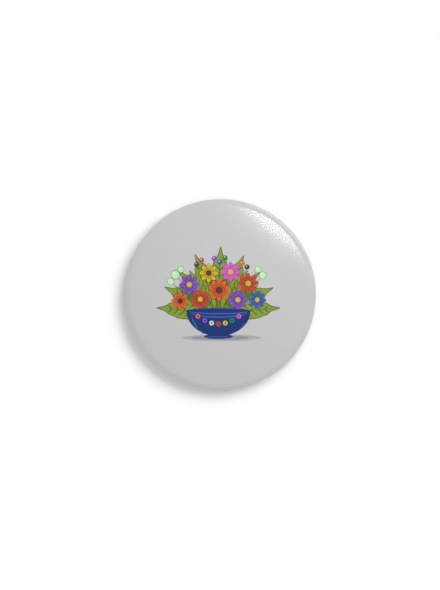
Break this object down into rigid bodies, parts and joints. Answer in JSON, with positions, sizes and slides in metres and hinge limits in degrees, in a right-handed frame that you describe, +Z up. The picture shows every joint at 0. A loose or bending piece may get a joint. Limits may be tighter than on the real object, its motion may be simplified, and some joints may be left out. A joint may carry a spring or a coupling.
{
  "type": "button badge",
  "caption": "Round pin-back button badge: printed paper under clear film on a domed steel shell, worn on cloth by a hinged needle with a locking catch.",
  "frame": {"origin": "on the badge's axis, in the plane of the rim's rearmost line, which lies against the cloth", "axes": "-Y out of the printed face towards the person who looks at it, +Y back into the cloth, +Z up as worn, +X along the pin towards its catch"},
  "size_m": [0.058, 0.011, 0.058],
  "materials": {
    "clear_film": "clear polyester film, glossy",
    "printed_paper": "smooth coated paper, printed pale grey with a coloured design",
    "tinplate": "bright tinplate with fine rolling lines",
    "nickel_plate": "bright nickel plate",
    "rivet_steel": "plated steel, slightly dull from heading",
    "needle_steel": "bright drawn wire"
  },
  "bodies": {
    "badge": {"clear_film": "clear_film", "printed_disc": "printed_paper", "front_shell": "tinplate", "back_plate": "tinplate", "pin_bar": "nickel_plate", "bar_rivet_by_hinge": "rivet_steel", "bar_rivet_by_catch": "rivet_steel", "hinge_rivet": "rivet_steel"},
    "needle": {"needle": "needle_steel"},
    "lock": {"catch_lock": "nickel_plate"}
  },
  "joints": [
    {"name": "needle_swing", "type": "hinge", "parent": "badge", "child": "needle", "pos_m": [-0.01255, 0.0008, 0.0065], "axis": [0, 0, 1], "range_deg": [0, 100]},
    {"name": "lock_turn", "type": "hinge", "parent": "badge", "child": "lock", "pos_m": [0.0148, 0.0008, 0.0065], "axis": [-1, 0, 0], "range_deg": [0, 150]}
  ]
}
